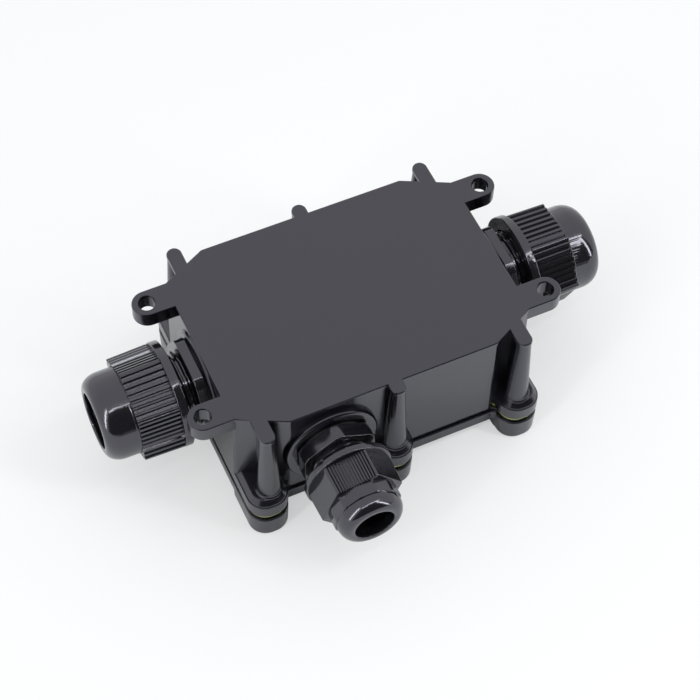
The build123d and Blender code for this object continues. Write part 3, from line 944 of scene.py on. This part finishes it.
def moulding_group():
    """Moulded plastic: fine grain, faint flow marks and a slightly uneven gloss."""
    group = node_group(
        "Moulded surface",
        [
            ("Color", "NodeSocketColor", (0.1, 0.1, 0.1, 1)),
            ("Roughness", "NodeSocketFloat", 0.4),
            ("Grain Scale", "NodeSocketFloat", 2500.0),
            ("Unevenness", "NodeSocketFloat", 0.1),
        ],
        [
            ("Color", "NodeSocketColor"),
            ("Roughness", "NodeSocketFloat"),
            ("Height", "NodeSocketFloat"),
        ],
    )
    nodes, link = group.nodes, group.links.new
    given, result = nodes["Group Input"], nodes["Group Output"]
    place = nodes.new("ShaderNodeTexCoord")
    grain = nodes.new("ShaderNodeTexNoise")
    grain.inputs["Detail"].default_value = 3
    link(place.outputs["Object"], grain.inputs["Vector"])
    link(given.outputs["Grain Scale"], grain.inputs["Scale"])
    flow = nodes.new("ShaderNodeTexNoise")
    flow.inputs["Scale"].default_value = 60
    flow.inputs["Detail"].default_value = 4
    link(place.outputs["Object"], flow.inputs["Vector"])
    shade = nodes.new("ShaderNodeMapRange")
    shade.inputs["From Min"].default_value = 0.3
    shade.inputs["From Max"].default_value = 0.7
    shade.inputs["To Min"].default_value = 0.93
    shade.inputs["To Max"].default_value = 1.07
    link(flow.outputs["Fac"], shade.inputs["Value"])
    tint = nodes.new("ShaderNodeVectorMath")
    tint.operation = "SCALE"
    link(given.outputs["Color"], tint.inputs[0])
    link(shade.outputs["Result"], tint.inputs["Scale"])
    link(tint.outputs["Vector"], result.inputs["Color"])
    centred = nodes.new("ShaderNodeMath")
    centred.operation = "SUBTRACT"
    centred.inputs[1].default_value = 0.5
    link(flow.outputs["Fac"], centred.inputs[0])
    gloss = nodes.new("ShaderNodeMath")
    gloss.operation = "MULTIPLY_ADD"
    link(centred.outputs[0], gloss.inputs[0])
    link(given.outputs["Unevenness"], gloss.inputs[1])
    link(given.outputs["Roughness"], gloss.inputs[2])
    link(gloss.outputs[0], result.inputs["Roughness"])
    link(grain.outputs["Fac"], result.inputs["Height"])
    return group


def plain_material(name):
    material = bpy.data.materials.new(name)
    material.use_nodes = True
    return material, material.node_tree.nodes, material.node_tree.links.new


def moulded_material(
    name, group, color, roughness, grain_scale, grain_depth, unevenness, specular=0.5
):
    """A moulded plastic or rubber with its own colour, gloss and grain."""
    material, nodes, link = plain_material(name)
    shader = nodes["Principled BSDF"]
    shader.inputs["Specular IOR Level"].default_value = specular
    shader.inputs["Specular Tint"].default_value = GLOSS_TINT
    surface = nodes.new("ShaderNodeGroup")
    surface.node_tree = group
    surface.inputs["Color"].default_value = (*color, 1)
    surface.inputs["Roughness"].default_value = roughness
    surface.inputs["Grain Scale"].default_value = grain_scale
    surface.inputs["Unevenness"].default_value = unevenness
    bump = nodes.new("ShaderNodeBump")
    bump.inputs["Strength"].default_value = 1.0
    bump.inputs["Distance"].default_value = grain_depth
    link(surface.outputs["Color"], shader.inputs["Base Color"])
    link(surface.outputs["Roughness"], shader.inputs["Roughness"])
    link(surface.outputs["Height"], bump.inputs["Height"])
    link(bump.outputs["Normal"], shader.inputs["Normal"])
    return material


def metal_material(name, group, color, roughness):
    material = moulded_material(name, group, color, roughness, 3000.0, 0.003 * MM, 0.2)
    material.node_tree.nodes["Principled BSDF"].inputs["Metallic"].default_value = 1.0
    return material


# What a user would change


class BoxSettings(bpy.types.PropertyGroup):
    edge_round: FloatProperty(
        name="Edge round",
        description="Radius of the moulded outer edges",
        default=0.4 * MM,
        min=0.05 * MM,
        max=0.6 * MM,
        unit="LENGTH",
    )
    plastic_color: FloatVectorProperty(
        name="Housing colour",
        description="Colour of the housing and lid",
        subtype="COLOR",
        default=(0.011, 0.011, 0.016),
        min=0,
        max=1,
    )
    plastic_roughness: FloatProperty(
        name="Housing roughness",
        description="Gloss of the housing and lid, from 0, mirror, to 1, chalk",
        default=0.2,
        min=0,
        max=1,
    )
    gland_color: FloatVectorProperty(
        name="Gland colour",
        description="Colour of the cable glands",
        subtype="COLOR",
        default=(0.008, 0.008, 0.010),
        min=0,
        max=1,
    )
    gland_roughness: FloatProperty(
        name="Gland roughness",
        description="Gloss of the cable glands, from 0, mirror, to 1, chalk",
        default=0.13,
        min=0,
        max=1,
    )
    gasket_color: FloatVectorProperty(
        name="Gasket colour",
        description="Colour of the gasket between housing and lid",
        subtype="COLOR",
        default=(0.50, 0.55, 0.13),
        min=0,
        max=1,
    )


class StageSettings(bpy.types.PropertyGroup):
    azimuth: FloatProperty(
        name="Azimuth",
        description="Which way the camera stands round the box",
        default=radians(-26.24),
        subtype="ANGLE",
    )
    elevation: FloatProperty(
        name="Elevation",
        description="How far above the floor the camera looks down from",
        default=radians(56.0),
        subtype="ANGLE",
    )
    roll: FloatProperty(
        name="Roll",
        description="How far the camera is turned about its own line of sight",
        default=radians(1.84),
        subtype="ANGLE",
    )
    distance: FloatProperty(
        name="Distance",
        description="From the camera to the point it looks at",
        default=483.66 * MM,
        unit="LENGTH",
    )
    target: FloatVectorProperty(
        name="Target",
        description="The point on the back face that the camera looks at",
        default=(-6.588 * MM, -14.869 * MM, 0.0),
        subtype="TRANSLATION",
        unit="LENGTH",
    )
    lens: FloatProperty(
        name="Lens",
        description="Focal length of the camera in millimetres on a 36 mm sensor",
        default=100.23,
    )
    tent_brightness: FloatProperty(
        name="Tent brightness",
        description="Brightness of the white tent round the box",
        default=0.95,
        min=0,
        max=2,
    )
    floor_color: FloatProperty(
        name="Floor value",
        description="How pale the floor is, from 0, black, to 1, white",
        default=0.9,
        min=0,
        max=1,
    )


def finish_materials():
    """The finishes, made once and found again by name."""
    if "housing plastic" in bpy.data.materials:
        return bpy.data.materials
    box = bpy.context.scene.junction_box
    group = moulding_group()
    moulded_material(
        "housing plastic", group, box.plastic_color, box.plastic_roughness, 3200.0, 0.005 * MM, 0.08, 1.0
    )
    moulded_material(
        "gland plastic", group, box.gland_color, box.gland_roughness, 2600.0, 0.003 * MM, 0.06, 1.0
    )
    moulded_material("seal rubber", group, (0.02, 0.02, 0.02), 0.7, 2000.0, 0.02 * MM, 0.1, 0.3)
    moulded_material("gasket rubber", group, box.gasket_color, 0.45, 2000.0, 0.01 * MM, 0.1, 0.4)
    moulded_material("terminal plastic", group, (0.62, 0.62, 0.56), 0.4, 2500.0, 0.01 * MM, 0.1)
    metal_material("screw steel", group, (0.55, 0.55, 0.56), 0.32)
    metal_material("terminal brass", group, (0.72, 0.52, 0.22), 0.3)
    return bpy.data.materials


# Operators, one for each piece or group of like pieces


class BOX_OT_housing(bpy.types.Operator):
    """Moulded housing with its plate, ears, posts, lobes and collars"""

    bl_idname = "junction_box.housing"
    bl_label = "Housing"

    def execute(self, context):
        box = context.scene.junction_box
        plastic = finish_materials()["housing plastic"]
        housing = housing_mesh(box.edge_round)
        dress(housing, "moulded_housing", plastic, "black_nylon", "housing", "rear_housing")
        return {"FINISHED"}


class BOX_OT_lid(bpy.types.Operator):
    """Lid with its screw bosses, and its gasket and screws"""

    bl_idname = "junction_box.lid"
    bl_label = "Lid and gasket"

    def execute(self, context):
        box = context.scene.junction_box
        finish = finish_materials()
        lid = lid_mesh(box.edge_round)
        dress(lid, "moulded_lid", finish["housing plastic"], "black_nylon", "lid", "lid")
        gasket = gasket_mesh()
        dress(gasket, "bead_gasket", finish["gasket rubber"], "gasket_rubber", "lid", "lid_gasket")
        for i in range(len(SCREW_PLACES)):
            coat(f"lid_screw_{i + 1}", finish["screw steel"])
        return {"FINISHED"}


def coat(node, material):
    """Gives a CAD node that stays its finish."""
    piece = frame["nodes"][node]
    piece.data.materials.clear()
    piece.data.materials.append(material)
    weighted(piece)


class BOX_OT_glands(bpy.types.Operator):
    """Three cable glands: bodies, dome nuts, cages, sleeves and washers"""

    bl_idname = "junction_box.glands"
    bl_label = "Cable glands"

    def execute(self, context):
        finish = finish_materials()
        plastic = finish["gland plastic"]
        for gland in GLANDS:
            name = f"{gland.name}_gland"
            body = gland_body_mesh(gland)
            dress(body, f"{name}_threaded_body", plastic, "gland_nylon", "housing", f"{name}_body")
            nut = dome_nut_mesh(gland)
            node = f"{name}_dome_nut"
            dress(nut, f"{name}_ribbed_nut", plastic, "gland_nylon", f"{gland.name}_nut", node)
            coat(f"{name}_cage", plastic)
            coat(f"{name}_seal", finish["seal rubber"])
            coat(f"{name}_washer", finish["seal rubber"])
        return {"FINISHED"}


class BOX_OT_terminals(bpy.types.Operator):
    """Terminal block inside the box, with its barrels and screws"""

    bl_idname = "junction_box.terminals"
    bl_label = "Terminal block"

    def execute(self, context):
        finish = finish_materials()
        coat("terminal_block", finish["terminal plastic"])
        for name in frame["nodes"]:
            if name.startswith("terminal_barrel"):
                coat(name, finish["terminal brass"])
            if name.startswith(("clamp_screw", "block_screw")):
                coat(name, finish["screw steel"])
        return {"FINISHED"}


def floor_material(value):
    """A pale floor whose shadow is softened where the camera sees it."""
    material, nodes, link = plain_material("pale floor")
    shader = nodes["Principled BSDF"]
    shader.inputs["Base Color"].default_value = (*(value * share for share in FLOOR_COOLNESS), 1)
    shader.inputs["Roughness"].default_value = 0.9
    shader.inputs["Specular IOR Level"].default_value = 0.1
    glow = nodes.new("ShaderNodeEmission")
    glow.inputs["Color"].default_value = FLOOR_TINT
    glow.inputs["Strength"].default_value = FLOOR_GLOW
    path = nodes.new("ShaderNodeLightPath")
    share = nodes.new("ShaderNodeMath")
    share.operation = "MULTIPLY"
    share.inputs[1].default_value = SHADOW_SOFTENING
    link(path.outputs["Is Camera Ray"], share.inputs[0])
    mix = nodes.new("ShaderNodeMixShader")
    link(share.outputs[0], mix.inputs["Fac"])
    link(shader.outputs["BSDF"], mix.inputs[1])
    link(glow.outputs["Emission"], mix.inputs[2])
    link(mix.outputs["Shader"], nodes["Material Output"].inputs["Surface"])
    return material


def tent_world(brightness):
    """A white tent all round, open and dark where the photographer stands."""
    world = bpy.data.worlds.new("white tent")
    world.use_nodes = True
    nodes, link = world.node_tree.nodes, world.node_tree.links.new
    place = nodes.new("ShaderNodeTexCoord")

    def along(direction):
        dot = nodes.new("ShaderNodeVectorMath")
        dot.operation = "DOT_PRODUCT"
        dot.inputs[1].default_value = direction
        link(place.outputs["Generated"], dot.inputs[0])
        return dot.outputs["Value"]

    def math(operation, first, second):
        node = nodes.new("ShaderNodeMath")
        node.operation = operation
        for socket, value in zip(node.inputs, (first, second)):
            if isinstance(value, float):
                socket.default_value = value
            else:
                link(value, socket)
        return node.outputs[0]

    a = radians(OPENING_AZIMUTH)
    ahead = along((sin(a), -cos(a), 0))
    aside = math("ABSOLUTE", along((cos(a), sin(a), 0)), 0.0)
    height = along((0, 0, 1))
    within = math("SUBTRACT", math("MULTIPLY", ahead, OPENING_WIDTH), aside)
    below = math("SUBTRACT", math("MULTIPLY", ahead, OPENING_HEIGHT), height)
    inside = math("MINIMUM", within, below)
    shade = nodes.new("ShaderNodeMapRange")
    shade.interpolation_type = "SMOOTHSTEP"
    shade.inputs["From Min"].default_value = 0.0
    shade.inputs["From Max"].default_value = OPENING_BLUR
    shade.inputs["To Min"].default_value = brightness
    shade.inputs["To Max"].default_value = OPENING_BRIGHTNESS
    link(inside, shade.inputs["Value"])
    link(shade.outputs["Result"], nodes["Background"].inputs["Strength"])
    nodes["Background"].inputs["Color"].default_value = (1, 1, 1, 1)
    return world


def area_light(strip):
    """A rectangular lamp that looks at a point, with its brightness as a radiance."""
    light = bpy.data.lights.new(strip.name, "AREA")
    light.shape = "RECTANGLE"
    light.size = strip.width
    light.size_y = strip.height
    light.energy = strip.level * pi * strip.width * strip.height
    lamp = bpy.data.objects.new(strip.name, light)
    lamp.location = strip.place
    backwards = Vector(strip.place) - Vector(strip.aim)
    lamp.rotation_euler = backwards.to_track_quat("Z", "Y").to_euler()
    bpy.context.scene.collection.objects.link(lamp)
    return lamp


class BOX_OT_stage(bpy.types.Operator):
    """Pale floor, white tent, light strips and the camera of the photograph"""

    bl_idname = "junction_box.stage"
    bl_label = "Stage"

    def execute(self, context):
        settings = context.scene.junction_box_stage
        bm = bmesh.new()
        reach = FLOOR_REACH
        level = cad_bounds[0].z
        corners = [(-reach, -reach), (reach, -reach), (reach, reach), (-reach, reach)]
        bm.faces.new([bm.verts.new((x, y, level)) for x, y in corners])
        ground = finished("floor", bm)
        ground.data.materials.append(floor_material(settings.floor_color))
        context.scene.world = tent_world(settings.tent_brightness)
        # The strips' mirror image would whiten the flat back, so they light only these
        lit = bpy.data.collections.new("lit by the strips")
        for piece in context.scene.objects:
            if piece == ground or "_gland_" in piece.name:
                lit.objects.link(piece)
        for strip in STRIPS:
            lamp = area_light(strip)
            lamp.light_linking.receiver_collection = lit
        camera = bpy.data.cameras.new("camera")
        camera.sensor_width = SENSOR_WIDTH
        camera.lens = settings.lens
        camera.clip_start = CLIP_START
        camera.shift_x = SHIFT_X
        camera.shift_y = SHIFT_Y
        viewer = bpy.data.objects.new("camera", camera)
        a, e = settings.azimuth, settings.elevation
        back = Vector((sin(a) * cos(e), -cos(a) * cos(e), sin(e)))
        right = Vector((cos(a), sin(a), 0))
        up = back.cross(right)
        turned_right = right * cos(settings.roll) + up * sin(settings.roll)
        turned_up = back.cross(turned_right)
        axes = Matrix((turned_right, turned_up, back)).transposed().to_4x4()
        viewer.matrix_world = Matrix.Translation(Vector(settings.target) + back * settings.distance) @ axes
        context.scene.collection.objects.link(viewer)
        context.scene.camera = viewer
        context.scene.view_settings.view_transform = "Standard"
        return {"FINISHED"}


OPERATORS = [BOX_OT_housing, BOX_OT_lid, BOX_OT_glands, BOX_OT_terminals, BOX_OT_stage]


class BOX_PT_panel(bpy.types.Panel):
    """Lists the pieces and what can be changed about them"""

    bl_label = "Junction box"
    bl_idname = "BOX_PT_panel"
    bl_space_type = "VIEW_3D"
    bl_region_type = "UI"
    bl_category = "Junction box"

    def draw(self, context):
        layout = self.layout
        for settings in (context.scene.junction_box, context.scene.junction_box_stage):
            for name in settings.__annotations__:
                layout.prop(settings, name)
        for operator in OPERATORS:
            layout.operator(operator.bl_idname)


CLASSES = [BoxSettings, StageSettings, *OPERATORS, BOX_PT_panel]


def register():
    for item in CLASSES:
        bpy.utils.register_class(item)
    bpy.types.Scene.junction_box = PointerProperty(type=BoxSettings)
    bpy.types.Scene.junction_box_stage = PointerProperty(type=StageSettings)


def unregister():
    del bpy.types.Scene.junction_box_stage
    del bpy.types.Scene.junction_box
    for item in reversed(CLASSES):
        bpy.utils.unregister_class(item)


def main():
    register()
    bpy.ops.junction_box.housing()
    bpy.ops.junction_box.lid()
    bpy.ops.junction_box.glands()
    bpy.ops.junction_box.terminals()
    bpy.ops.junction_box.stage()


if __name__ == "__main__":
    main()
